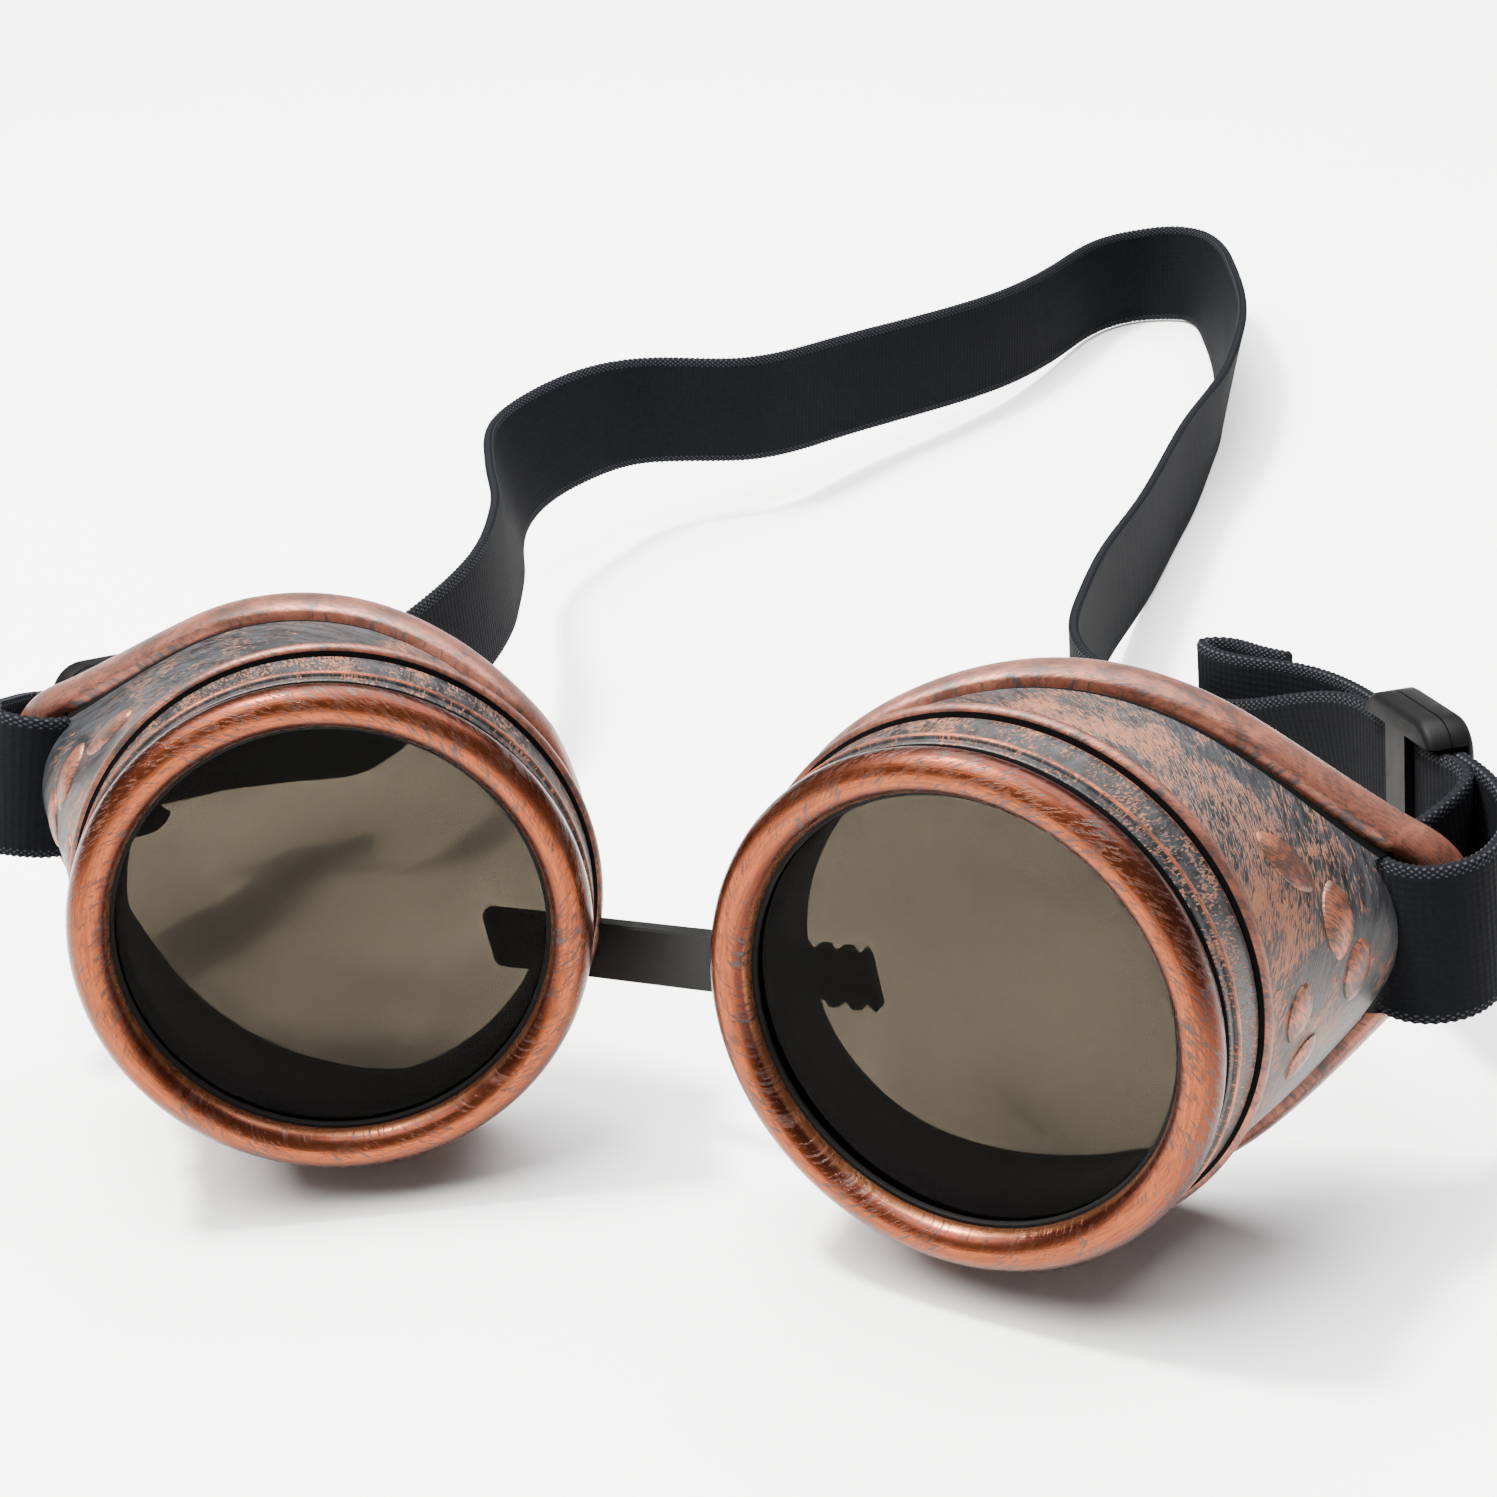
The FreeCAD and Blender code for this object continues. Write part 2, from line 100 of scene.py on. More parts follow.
# the strap loop in the cup's frame, as x and y, with the share of RISE reached there for LOOP
TAIL = {"left": [(12.0, 82.0)], "right": [(-7.0, 91.0), (6.0, 86.5)]}
LOOP = [(43.0, 50.2, 0.7), (44.6, 42.5, 0.35), (42.6, 36.2, 0.1), (38.0, 34.0, 0), (33.8, 36.2, 0),
        (33.7, 41.9, 0), (36.6, 48.7, 0.5)]
OUTER_SHARES = (0.97, 0.9, 0.75, 0.5, 0.25, 0.04)    # points of the straight run, towards the cup
INNER_SHARES = (0.04, 0.25, 0.5, 0.7, 0.85, 0.93)    # and away from it
HEM, HEM_GAP = 11.0, 1.6
STITCHES, STITCH_EDGE, STITCH_BACK = 7, 1.5, 2.0
STITCH_R, STITCH_HALF, STITCH_CLEAR = 0.30, 0.85, 0.12
LOOP_LEAN = {"left": 0.3, "right": 0.0}    # how far the bend's upper edge leans out
BAND_LEFT = [  # x, y, height of the lower edge, outward lean of the upper edge, in the row frame
    (-71.4, -73.1, 13.2, 0), (-63.4, -71.6, 15.0, 0), (-58.9, -61.1, 16.0, 0), (-57.4, -44.1, 16.5, 0),
    (-61.4, -26.1, 16.0, 1), (-69.4, -8.1, 15.0, 3), (-75.4, 8.0, 14.5, 4), (-73.2, 26.0, 14.0, 3),
    (-65.6, 40.8, 12.0, 1), (-53.4, 48.2, 10.0, 0), (-42.4, 66.9, 7.0, 0), (-32.4, 84.9, 5.0, 0),
    (-23.6, 103.4, 3.0, 0), (-18.0, 126.9, 1.0, 0), (-10.6, 145.4, 0.2, 0)]
BAND_FAR = (-0.7, 149.2, 0.1, 2)
BAND_RIGHT = [
    (9.0, 135.4, 0.1, 4), (16.0, 112.9, 0.1, 4.5), (20.0, 85.9, 0.1, 3), (20.1, 55.9, 0.1, 0),
    (20.6, 25.9, 1.0, 0), (21.1, 0.9, 4.0, 0), (22.7, -17.6, 6.0, 0), (26.0, -33.4, 7.5, 0),
    (33.6, -44.3, 8.8, 0), (44.2, -52.4, 10.5, 0), (54.8, -57.6, 13.0, 0)]

# ---- places in metres, in the row frame -------------------------------------------------------------------
FLOOR_HALF, FLOOR_DROP = 6.0, 0.0002
CAMERA_AT, CAMERA_LENS, SENSOR = (0.11984, -0.38195, 0.20689), 72.14, 36.0
CAMERA_RIGHT = Vector((0.9375, 0.3402, -0.0729))
CAMERA_UP = Vector((-0.1031, 0.4716, 0.8758))
CAMERA_BACK = Vector((0.3323, -0.8136, 0.4772))

# ---- colours ----------------------------------------------------------------------------------------------
DARK, GREY = (0.0025, 0.0026, 0.0032), (0.022, 0.024, 0.028)
COPPER, PINK = (0.26, 0.105, 0.058), (0.22, 0.076, 0.048)
CONE_COPPER = {"left": -0.01, "right": 0.055}        # how much copper is brushed on each cone


# ---- frames and meshes ------------------------------------------------------------------------------------
def cup_matrix(side):
    """From one cup's frame in millimetres to the row frame in metres."""
    cap, glide = JOINTS[side + "_cap_unscrew"], JOINTS[side + "_glide_slide"]
    back = -Vector(cap["axis"]).normalized()
    run = Vector(glide["axis"])
    temple = (back * run.dot(back) - run).normalized()
    up = temple.cross(back) * SIDES[side]
    matrix = Matrix((temple, back, up)).transposed().to_4x4()
    matrix.translation = Vector(cap["pos_m"])
    return matrix @ MM


CUPS = {side: cup_matrix(side) for side in SIDES}


def mesh_object(name, verts, faces, matrix, materials, index=None, uvs=None):
    """A smooth-shaded object from points in a frame, with sharp edges kept; index is a material per face."""
    mesh = bpy.data.meshes.new(name)
    mesh.from_pydata([matrix @ Vector(v) for v in verts], [], faces)
    for material in materials:
        mesh.materials.append(material)
    if index:
        mesh.polygons.foreach_set("material_index", index)
    if uvs:
        layer = mesh.uv_layers.new(name="weave")
        for loop in mesh.loops:
            layer.data[loop.index].uv = uvs[loop.vertex_index]
    work = bmesh.new()
    work.from_mesh(mesh)
    bmesh.ops.recalc_face_normals(work, faces=work.faces)
    work.to_mesh(mesh)
    work.free()
    smooth(mesh)
    obj = bpy.data.objects.new(name, mesh)
    bpy.context.scene.collection.objects.link(obj)
    return obj


def smooth(mesh):
    """Smooth shading, except across edges that turn by more than SHARP."""
    mesh.polygons.foreach_set("use_smooth", [True] * len(mesh.polygons))
    mesh.set_sharp_from_angle(angle=SHARP)


def grid_faces(rows, columns, wrap_rows=True, start=0):
    """Quads of a grid of points stored row by row, each row a closed ring."""
    faces = []
    for i in range(rows if wrap_rows else rows - 1):
        for j in range(columns):
            a, b = i * columns, (i + 1) % rows * columns
            k = (j + 1) % columns
            faces.append((start + a + j, start + a + k, start + b + k, start + b + j))
    return faces


def lathe(profile, count):
    """A closed profile of (radius, depth) turned about the lens axis."""
    verts = []
    for i in range(count):
        turn = 2 * math.pi * i / count
        verts += [(r * math.cos(turn), y, r * math.sin(turn)) for r, y in profile]
    return verts, grid_faces(count, len(profile))


def block(name, low, high, matrix, material):
    """A box used as a cutter."""
    verts = [(x, y, z) for x in (low[0], high[0]) for y in (low[1], high[1]) for z in (low[2], high[2])]
    faces = [(0, 1, 3, 2), (4, 6, 7, 5), (0, 4, 5, 1), (2, 3, 7, 6), (0, 2, 6, 4), (1, 5, 7, 3)]
    return mesh_object(name, verts, faces, matrix, [material])


def cut(obj, cutters):
    """Takes the cutters out of the object's mesh and removes them."""
    for cutter in cutters:
        modifier = obj.modifiers.new("cut", "BOOLEAN")
        modifier.operation, modifier.solver, modifier.object = "DIFFERENCE", "MANIFOLD", cutter
    bpy.context.view_layer.update()
    result = obj.evaluated_get(bpy.context.evaluated_depsgraph_get())
    mesh = bpy.data.meshes.new_from_object(result)
    obj.modifiers.clear()
    obj.data = mesh
    smooth(mesh)
    for cutter in cutters:
        bpy.data.objects.remove(cutter)


def joined(objects):
    """Several objects as the first one."""
    target = objects[0]
    with bpy.context.temp_override(active_object=target, selected_editable_objects=objects, object=target):
        bpy.ops.object.join()
    return target


# ---- shader helpers ---------------------------------------------------------------------------------------
class Shader:
    """A material's node tree, built by short calls."""

    def __init__(self, name):
        self.material = bpy.data.materials.new(name)
        self.material.use_nodes = True
        self.tree = self.material.node_tree
        self.tree.nodes.clear()
        self.out = self.node("OutputMaterial")

    def node(self, kind, props=None, **inputs):
        made = self.tree.nodes.new("ShaderNode" + kind)
        for key, value in (props or {}).items():
            setattr(made, key, value)
        for key, value in inputs.items():
            numbered = key[0] == "i" and key[1:].isdigit()
            socket = made.inputs[int(key[1:])] if numbered else made.inputs[key.replace("_", " ")]
            if isinstance(value, bpy.types.NodeSocket):
                self.tree.links.new(value, socket)
            else:
                socket.default_value = value
        return made

    def share(self, value, start, stop, top=1.0, **props):
        """0 at start and top at stop, or the other way round."""
        return self.node("MapRange", props, i0=value, i1=start, i2=stop, i3=0.0, i4=top).outputs[0]

    def math(self, operation, a, b=0.0, c=0.0):
        return self.node("Math", {"operation": operation}, i0=a, i1=b, i2=c).outputs[0]

    def ramp(self, factor, *stops):
        made = self.node("ValToRGB", Fac=factor)
        elements = made.color_ramp.elements
        while len(elements) < len(stops):
            elements.new(0.5)
        for element, (place, value) in zip(elements, stops):
            element.position = place
            element.color = (*value, 1) if isinstance(value, tuple) else (value, value, value, 1)
        return made.outputs[0]

    def mix(self, factor, a, b):
        made = self.node("Mix", {"data_type": "RGBA"}, i0=factor)
        for socket, value in ((made.inputs[6], a), (made.inputs[7], b)):
            if isinstance(value, bpy.types.NodeSocket):
                self.tree.links.new(value, socket)
            else:
                socket.default_value = (*value, 1)
        return made.outputs[2]

    def noise(self, vector, scale, detail=4.0, rough=0.55, distortion=0.0):
        made = self.node("TexNoise", Vector=vector, Scale=scale, Detail=detail, Roughness=rough,
                         Distortion=distortion)
        return made.outputs[0]

    def vector(self, x, y, z):
        return self.node("CombineXYZ", X=x, Y=y, Z=z).outputs[0]

    def place(self):
        """The point in the row frame, in millimetres."""
        point = self.node("TexCoord").outputs["Object"]
        return self.node("VectorMath", {"operation": "SCALE"}, i0=point, Scale=1000.0).outputs[0]

    def bump(self, height, distance, strength=1.0):
        return self.node("Bump", Strength=strength, Distance=distance * 0.001, Height=height).outputs[0]

    def finish(self, **inputs):
        bsdf = self.node("BsdfPrincipled", **inputs)
        self.tree.links.new(bsdf.outputs[0], self.out.inputs[0])
        return self.material


class CupShader(Shader):
    """A shader with coordinates in one cup's frame, in millimetres."""

    def __init__(self, name, side):
        super().__init__(side + "_" + name)
        matrix = CUPS[side].copy()
        axes = matrix.to_3x3()
        axes.col[0] *= SIDES[side]
        rotation = Matrix([c.normalized() for c in axes.col]).transposed().to_euler()
        point = self.node("TexCoord").outputs["Object"]
        local = self.node("Mapping", {"vector_type": "TEXTURE"}, Vector=point, Location=matrix.translation,
                          Rotation=rotation, Scale=(0.001, 0.001, 0.001)).outputs[0]
        self.local = local
        split = self.node("SeparateXYZ", Vector=local)
        self.x = self.math("MULTIPLY", split.outputs[0], float(SIDES[side]))
        self.y, self.z = split.outputs[1], split.outputs[2]
        self.angle = self.math("ARCTAN2", self.z, self.x)
        self.radius = self.math("SQRT", self.math("ADD", self.math("MULTIPLY", self.x, self.x),
                                                  self.math("MULTIPLY", self.z, self.z)))

    def round(self, twist, along, radius=30.0):
        """A vector round the lens axis, turned with depth by twist and drawn out along the depth."""
        turned = self.math("MULTIPLY_ADD", self.y, twist, self.angle)
        return self.vector(self.math("MULTIPLY", self.math("COSINE", turned), radius),
                           self.math("MULTIPLY", self.math("SINE", turned), radius),
                           self.math("MULTIPLY", self.y, along))


def dry_brushed(name, side, cover, slant=0.03, grey=0.5, fade=0.0):
    """Dark plastic with grey wear and short slanting copper strokes, fewer by fade per mm of depth."""
    s = CupShader(name, side)
    strokes = s.noise(s.round(slant, 0.5), 3.6, 3, 0.6, 0.2)
    patches = s.noise(s.local, 0.13, 3, 0.6, 0.8)
    level = s.math("MULTIPLY_ADD", patches, 0.55, s.math("MULTIPLY", strokes, 0.8))
    level = s.math("MULTIPLY_ADD", s.math("ADD", s.y, -CONE_Y), -fade, level)
    mask = s.ramp(level, (0.68 - cover, 0.0), (0.76 - cover, 1.0))
    wear = s.ramp(s.noise(s.round(slant, 0.5), 0.8, 5, 0.65), (0.40, 0.0), (0.66, grey))
    tone = s.mix(s.noise(s.local, 0.9, 3), COPPER, tuple(c * 0.5 for c in COPPER))
    height = s.math("MULTIPLY_ADD", strokes, 0.9, mask)
    base = s.mix(mask, s.mix(wear, DARK, GREY), tone)
    return s.finish(Base_Color=base, Metallic=s.math("MULTIPLY", mask, 0.45), Specular_IOR_Level=0.35,
                    Roughness=s.math("MULTIPLY_ADD", strokes, 0.3, 0.30), Normal=s.bump(height, 0.07, 0.7))


def copper_lip(side):
    """Brushed copper with painted shade off the crest and a painted inner-edge highlight, fine streaks round
    the lip and slanting dark flecks.
    """
    s = CupShader("copper_lip", side)
    across = s.math("MULTIPLY_ADD", s.y, 0.7, s.math("MULTIPLY", s.radius, 1.3))
    streaks = s.node("TexNoise", {"noise_dimensions": "4D"}, Vector=s.round(0.0, 1.0, 7.0),
                     W=s.math("MULTIPLY", across, 2.6), Scale=1.4, Detail=3.0, Roughness=0.6).outputs[0]
    turned = s.math("MULTIPLY_ADD", across, 0.035, s.angle)
    slanting = s.vector(s.math("MULTIPLY", s.math("COSINE", turned), LIP_R),
                        s.math("MULTIPLY", s.math("SINE", turned), LIP_R), s.math("MULTIPLY", across, 0.35))
    flecks = s.noise(slanting, 2.2, 5, 0.68, 0.4)
    cloud = s.noise(s.local, 0.12, 3, 0.6, 0.5)
    dark = s.ramp(s.math("MULTIPLY_ADD", cloud, 0.35, flecks), (0.71, 0.0), (0.80, 1.0))
    # painted shade: the lip is darker towards its outer and inner sides and lighter on the crest, as light
    # falls on it
    outside = s.share(s.radius, 27.0, 29.0, interpolation_type="SMOOTHSTEP")
    inside = s.share(s.radius, 26.0, 24.9, interpolation_type="SMOOTHSTEP")
    painted_rim_highlight = s.share(s.radius, 24.75, 24.5, 0.9)
    shade = s.math("MAXIMUM", outside, inside)
    base = s.mix(shade, (0.185, 0.047, 0.017), (0.062, 0.015, 0.008))
    base = s.mix(s.ramp(streaks, (0.44, 0.0), (0.70, 0.55)), base, (0.040, 0.010, 0.006))
    # painted highlight: a thin lighter line along the inner edge of the opening
    base = s.mix(painted_rim_highlight, base, (0.30, 0.115, 0.055))
    base = s.mix(s.math("MULTIPLY", dark, 0.9), base, (0.010, 0.006, 0.005))
    height = s.math("MULTIPLY_ADD", dark, -0.6, s.math("MULTIPLY", streaks, 0.7))
    return s.finish(Base_Color=base, Metallic=s.math("MULTIPLY_ADD", dark, -0.6, 0.92),
                    Roughness=s.math("MULTIPLY_ADD", streaks, 0.24, 0.17), Normal=s.bump(height, 0.05, 0.6))


def copper_bead(name, side, tone=PINK, cover=0.0):
    """Worn, dull pinkish copper, blotched and flecked with dark, for the eye rim, ridges and leaves."""
    s = CupShader(name, side)
    flecks = s.noise(s.round(0.05, 0.85), 2.4, 5, 0.7, 0.3)
    cloud = s.noise(s.local, 0.22, 5, 0.65, 0.6)
    mask = s.ramp(s.math("MULTIPLY_ADD", cloud, 0.4, flecks), (0.70 - cover, 0.0), (0.80 - cover, 1.0))
    base = s.mix(s.ramp(cloud, (0.38, 0.0), (0.64, 1.0)), tone, tuple(c * 0.42 for c in tone))
    base = s.mix(s.math("MULTIPLY", mask, 0.88), base, (0.014, 0.010, 0.010))
    return s.finish(Base_Color=base, Metallic=s.math("MULTIPLY_ADD", mask, -0.45, 0.62),
                    Roughness=s.math("MULTIPLY_ADD", flecks, 0.3, 0.26), Normal=s.bump(flecks, 0.10, 0.7))


def plain(name, base, rough, gloss=0.15, grain=2.5, spread=0.5, bump=0.03):
    """Moulded plastic or rubber: a fine grain, and slight smears in the gloss."""
    s = Shader(name)
    place = s.place()
    fine, smear = s.noise(place, grain, 4, 0.6), s.noise(place, 0.12, 3, 0.6, 0.6)
    colour = s.mix(smear, base, tuple(c * (1 - spread) for c in base))
    roughness = s.math("MULTIPLY_ADD", smear, 0.25, rough - 0.1)
    return s.finish(Base_Color=colour, Specular_IOR_Level=gloss, Roughness=roughness,
                    Normal=s.bump(fine, bump, 0.7))


def lens_glass(name, tint, gloss, marks):
    """Flat glass that shows what is behind it, with faint smears, and fine scratches in its reflection.

    The tint is for one face, gloss is the refractive index of its reflection, and marks is the haze.
    """
    s = Shader(name)
    place = s.place()
    smear = s.noise(place, 0.05, 4, 0.6, 1.2)
    scratch = s.ramp(s.noise(s.node("Mapping", Vector=place, Scale=(0.25, 1.0, 6.0)).outputs[0], 1.5, 2, 0.4),
                     (0.70, 0.0), (0.76, 1.0))
    colour = s.mix(s.ramp(smear, (0.35, 0.0), (0.7, 1.0)), tint, tuple(c * 0.9 for c in tint))
    clear = s.node("BsdfTransparent", Color=colour).outputs[0]
    haze = s.node("BsdfDiffuse", Color=(0.16, 0.145, 0.12, 1)).outputs[0]
    dirt = s.math("MULTIPLY_ADD", smear, marks, marks * 0.4)
    body = s.node("MixShader", i0=dirt, i1=clear, i2=haze).outputs[0]
    roughness = s.math("MULTIPLY_ADD", scratch, 0.3, 0.06)
    shine = s.node("BsdfGlossy", Color=(1, 1, 1, 1), Roughness=roughness).outputs[0]
    fresnel = s.node("Fresnel", IOR=gloss).outputs[0]
    mixed = s.node("MixShader", i0=fresnel, i1=body, i2=shine).outputs[0]
    s.tree.links.new(mixed, s.out.inputs[0])
    return s.material


def webbing():
    """Woven elastic: fine ribs across it, and two rows of looped threads at each edge, lighter as a painted
    highlight; U along, V across.
    """
    s = Shader("elastic_webbing")
    uv = s.node("SeparateXYZ", Vector=s.node("UVMap", {"uv_map": "weave"}).outputs[0])
    along, across = uv.outputs[0], uv.outputs[1]
    rib = s.math("SINE", s.math("MULTIPLY", along, 2 * math.pi / RIB))
    thread = s.math("SINE", s.math("MULTIPLY", across, 2 * math.pi / 0.8))
    place = s.math("ABSOLUTE", across)
    rows = s.math("SINE", s.math("MULTIPLY_ADD", place, 2 * math.pi / 0.62, -2 * math.pi * 7.75 / 0.62))
    edge = s.share(place, 7.7, 7.9)
    loops = s.math("MULTIPLY", edge, s.math("MAXIMUM", s.math("MULTIPLY", rib, rows), 0.0))
    height = s.math("MULTIPLY_ADD", rib, 0.30, s.math("MULTIPLY", thread, 0.15))
    height = s.math("MULTIPLY_ADD", loops, 1.2, height)
    fuzz = s.noise(s.vector(along, across, 0.0), 3.5, 4, 0.7)
    tone = s.mix(fuzz, (0.0018, 0.0021, 0.0027), (0.0050, 0.0055, 0.0068))
    # the edge loops are real thread, and their lighter tone is a painted highlight where light catches them
    tone = s.mix(s.math("MULTIPLY", loops, 0.8), tone, (0.040, 0.043, 0.050))
    return s.finish(Base_Color=tone, Roughness=0.9, Specular_IOR_Level=0.05,
                    Normal=s.bump(s.math("MULTIPLY_ADD", fuzz, 0.5, height), 0.10, 0.8))


BLACK_CUP = plain("cup_inside_black", (0.0035, 0.003, 0.005), 0.55, gloss=0.12, grain=1.5, bump=0.05)
GROOVE = plain("groove_black", (0.002, 0.002, 0.0022), 0.7, gloss=0.04)
SLIDER = plain("slider_plastic", (0.0028, 0.0029, 0.0032), 0.5, gloss=0.07, grain=4.0, bump=0.03)
RUBBER = plain("strip_rubber", (0.0022, 0.0026, 0.0024), 0.45, gloss=0.2, grain=3.0, bump=0.04)
GASKET = plain("gasket_rubber", (0.003, 0.003, 0.003), 0.7, gloss=0.1, grain=3.0)
THREAD = plain("stitching_thread", (0.012, 0.012, 0.014), 0.8, grain=6.0, bump=0.08)
TINTED = lens_glass("tinted_glass", (0.180, 0.161, 0.137), 1.08, 0.003)
CLEAR = lens_glass("clear_glass", (0.95, 0.96, 0.955), 1.05, 0.002)
WEBBING = webbing()

STACK = [  # front to back: node, thickness, radius of the hole, material and its slot in the record
    ("front_gasket", 0.8, 23.8, GASKET, "gasket_rubber"), ("tinted_lens", 2.5, 0, TINTED, "tinted_glass"),
    ("clear_lens", 1.5, 0, CLEAR, "clear_glass"), ("seat_gasket", 1.0, 23.7, GASKET, "gasket_rubber")]


# ---- screw cap --------------------------------------------------------------------------------------------
def screw_cap(side):
    """Rounded lip, grooved collar and bored back; the profile is (radius, depth, material)."""
    middle = LIP_R - LIP_TUBE
    steps = 40
    lip = [math.radians(180 + (230 * i / steps)) for i in range(steps + 1)]
    parts = [(middle + LIP_TUBE * math.cos(a), LIP_TUBE + LIP_TUBE * math.sin(a), 0) for a in lip]
    parts += [(28.05, 4.35, 1), (27.95, 4.7, 1), (28.5, 4.85, 2), (28.62, 5.0, 2), (28.62, 6.1, 2),
              (28.95, 6.2, 3), (29.12, 6.35, 3), (29.12, 6.65, 3), (28.95, 6.8, 3), (28.6, 6.9, 2),
              (28.75, 8.6, 2), (28.95, 10.2, 2), (29.15, 11.2, 3), (29.05, CAP_BACK_Y, 1)]
    parts += [(CAP_BORE_R, CAP_BACK_Y, 1), (CAP_BORE_R, CAP_STEP_Y, 1), (POCKET_R, CAP_STEP_Y, 1),
              (POCKET_R, LIP_TUBE, 1)]
    count = 288
    verts, faces = lathe([(r, y) for r, y, _ in parts], count)
    index = [material for _, _, material in parts] * count
    materials = [copper_lip(side), GROOVE, dry_brushed("collar", side, -0.03, 0.01, grey=0.8),
                 copper_bead("ridge_copper", side, (0.30, 0.085, 0.038))]
    cap = mesh_object(side + "_cap_shell", verts, faces, CUPS[side], materials, index)
    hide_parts(side + "_screw_cap")
    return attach(cap, side + "_cap")


# ---- eye cup ----------------------------------------------------------------------------------------------
def arc_points(centre, radius, start, stop, count):
    """count points from the start angle, without the stop angle, as (x, z)."""
    angles = [math.radians(start + (stop - start) * i / count) for i in range(count)]
    return [(centre[0] + radius * math.cos(a), centre[1] + radius * math.sin(a)) for a in angles]


def line_points(a, b, count):
    return [(a[0] + (b[0] - a[0]) * i / count, a[1] + (b[1] - a[1]) * i / count) for i in range(count)]


def cone_lines():
    """Matching points on the round front and on the egg outline: nasal arc, cheek, temple arc, brow."""
    egg, tip = (EGG_X, 0.0), (TIP_X, TIP_Z)
    reach, lean = math.hypot(tip[0] - egg[0], tip[1]), math.degrees(math.atan2(tip[1], tip[0] - egg[0]))
    tangent = math.degrees(math.acos((EGG_R - TIP_R) / reach))
    top, low = lean + tangent, lean - tangent
    counts = (150, 44, 56, 44)
    stops = [SPLIT, 360 - SPLIT, 360 - TIP_ANGLE, 360 + TIP_ANGLE, 360 + SPLIT]
    front = []
    for a, b, n in zip(stops, stops[1:], counts):
        front += arc_points((0, 0), CONE_R, a, b, n)
    back = arc_points(egg, EGG_R, top, 360 + low, counts[0])
    back += line_points(*arc_points(egg, EGG_R, low, low, 1), *arc_points(tip, TIP_R, low, low, 1), counts[1])
    back += arc_points(tip, TIP_R, low, top, counts[2])
    back += line_points(*arc_points(tip, TIP_R, top, top, 1), *arc_points(egg, EGG_R, top, top, 1), counts[3])
    return [Vector((x, CONE_Y, z)) for x, z in front], [Vector((x, EGG_Y, z)) for x, z in back]


def rim_depth(x):
    """The depth of the eye-side edge at a distance towards the temple, on a smooth curve."""
    xs = [p[0] for p in RIM_DEPTHS]
    k = min(max(bisect.bisect(xs, x) - 1, 0), len(xs) - 2)
    (x0, y0), (x1, y1) = RIM_DEPTHS[k], RIM_DEPTHS[k + 1]
    before, after = RIM_DEPTHS[max(k - 1, 0)], RIM_DEPTHS[min(k + 2, len(xs) - 1)]
    m0 = (y1 - before[1]) / (x1 - before[0])
    m1 = (after[1] - y0) / (after[0] - x0)
    t, h = (x - x0) / (x1 - x0), x1 - x0
    return ((2 * t ** 3 - 3 * t * t + 1) * y0 + (t ** 3 - 2 * t * t + t) * h * m0
            + (3 * t * t - 2 * t ** 3) * y1 + (t ** 3 - t * t) * h * m1)


def rim_share(front, back):
    """How far along a cone line its eye-side edge lies."""
    low, high = 0.0, 1.3
    for _ in range(30):
        mid = (low + high) / 2
        point = front.lerp(back, mid)
        low, high = (mid, high) if point.y < rim_depth(point.x) else (low, mid)
    return low


def share_between(value, start, stop):
    """0 at start, 1 at stop, and held beyond them."""
    return max(0.0, min(1.0, (value - start) / (stop - start)))


def meridian(length, temple, nose):
    """Outline of the wall as (distance from the eye-side edge, height over the cone, material)."""
    bead, proud = BEAD_LONG + BEAD_WIDER * temple, BEAD_PROUD * (1 - BEAD_FADE * nose)
    outer = bead + GROOVE_LONG
    scale = min(1.0, (length - 0.3) / outer)
    steps = 22
    if scale == 1.0:
        points = [(outer + (length - outer) * (1 - i / steps), 0.0, 0) for i in range(steps)]
    else:
        points = [(length, 0.0, 0)] * steps
    points += [((bead + 0.75) * scale, -0.05, 2), ((bead + 0.6) * scale, -GROOVE_DEEP, 2),
               ((bead + 0.1) * scale, -GROOVE_DEEP, 2)]
    half, sink, steps = bead / 2, 0.2, 12
    for i in range(steps + 1):
        turn = math.pi * (1 - i / steps)
        height = (proud + sink) * math.sin(turn) ** BEAD_FULLNESS - sink
        points.append(((half - half * math.cos(turn)) * scale, height, 1))
    points += [(-0.02, -0.9, 1), (0.12, -1.55, 3), (0.55, -WALL, 3)]
    steps = 16
    return points + [(0.9 + (length - 0.9) * i / steps, -WALL, 3) for i in range(steps + 1)]


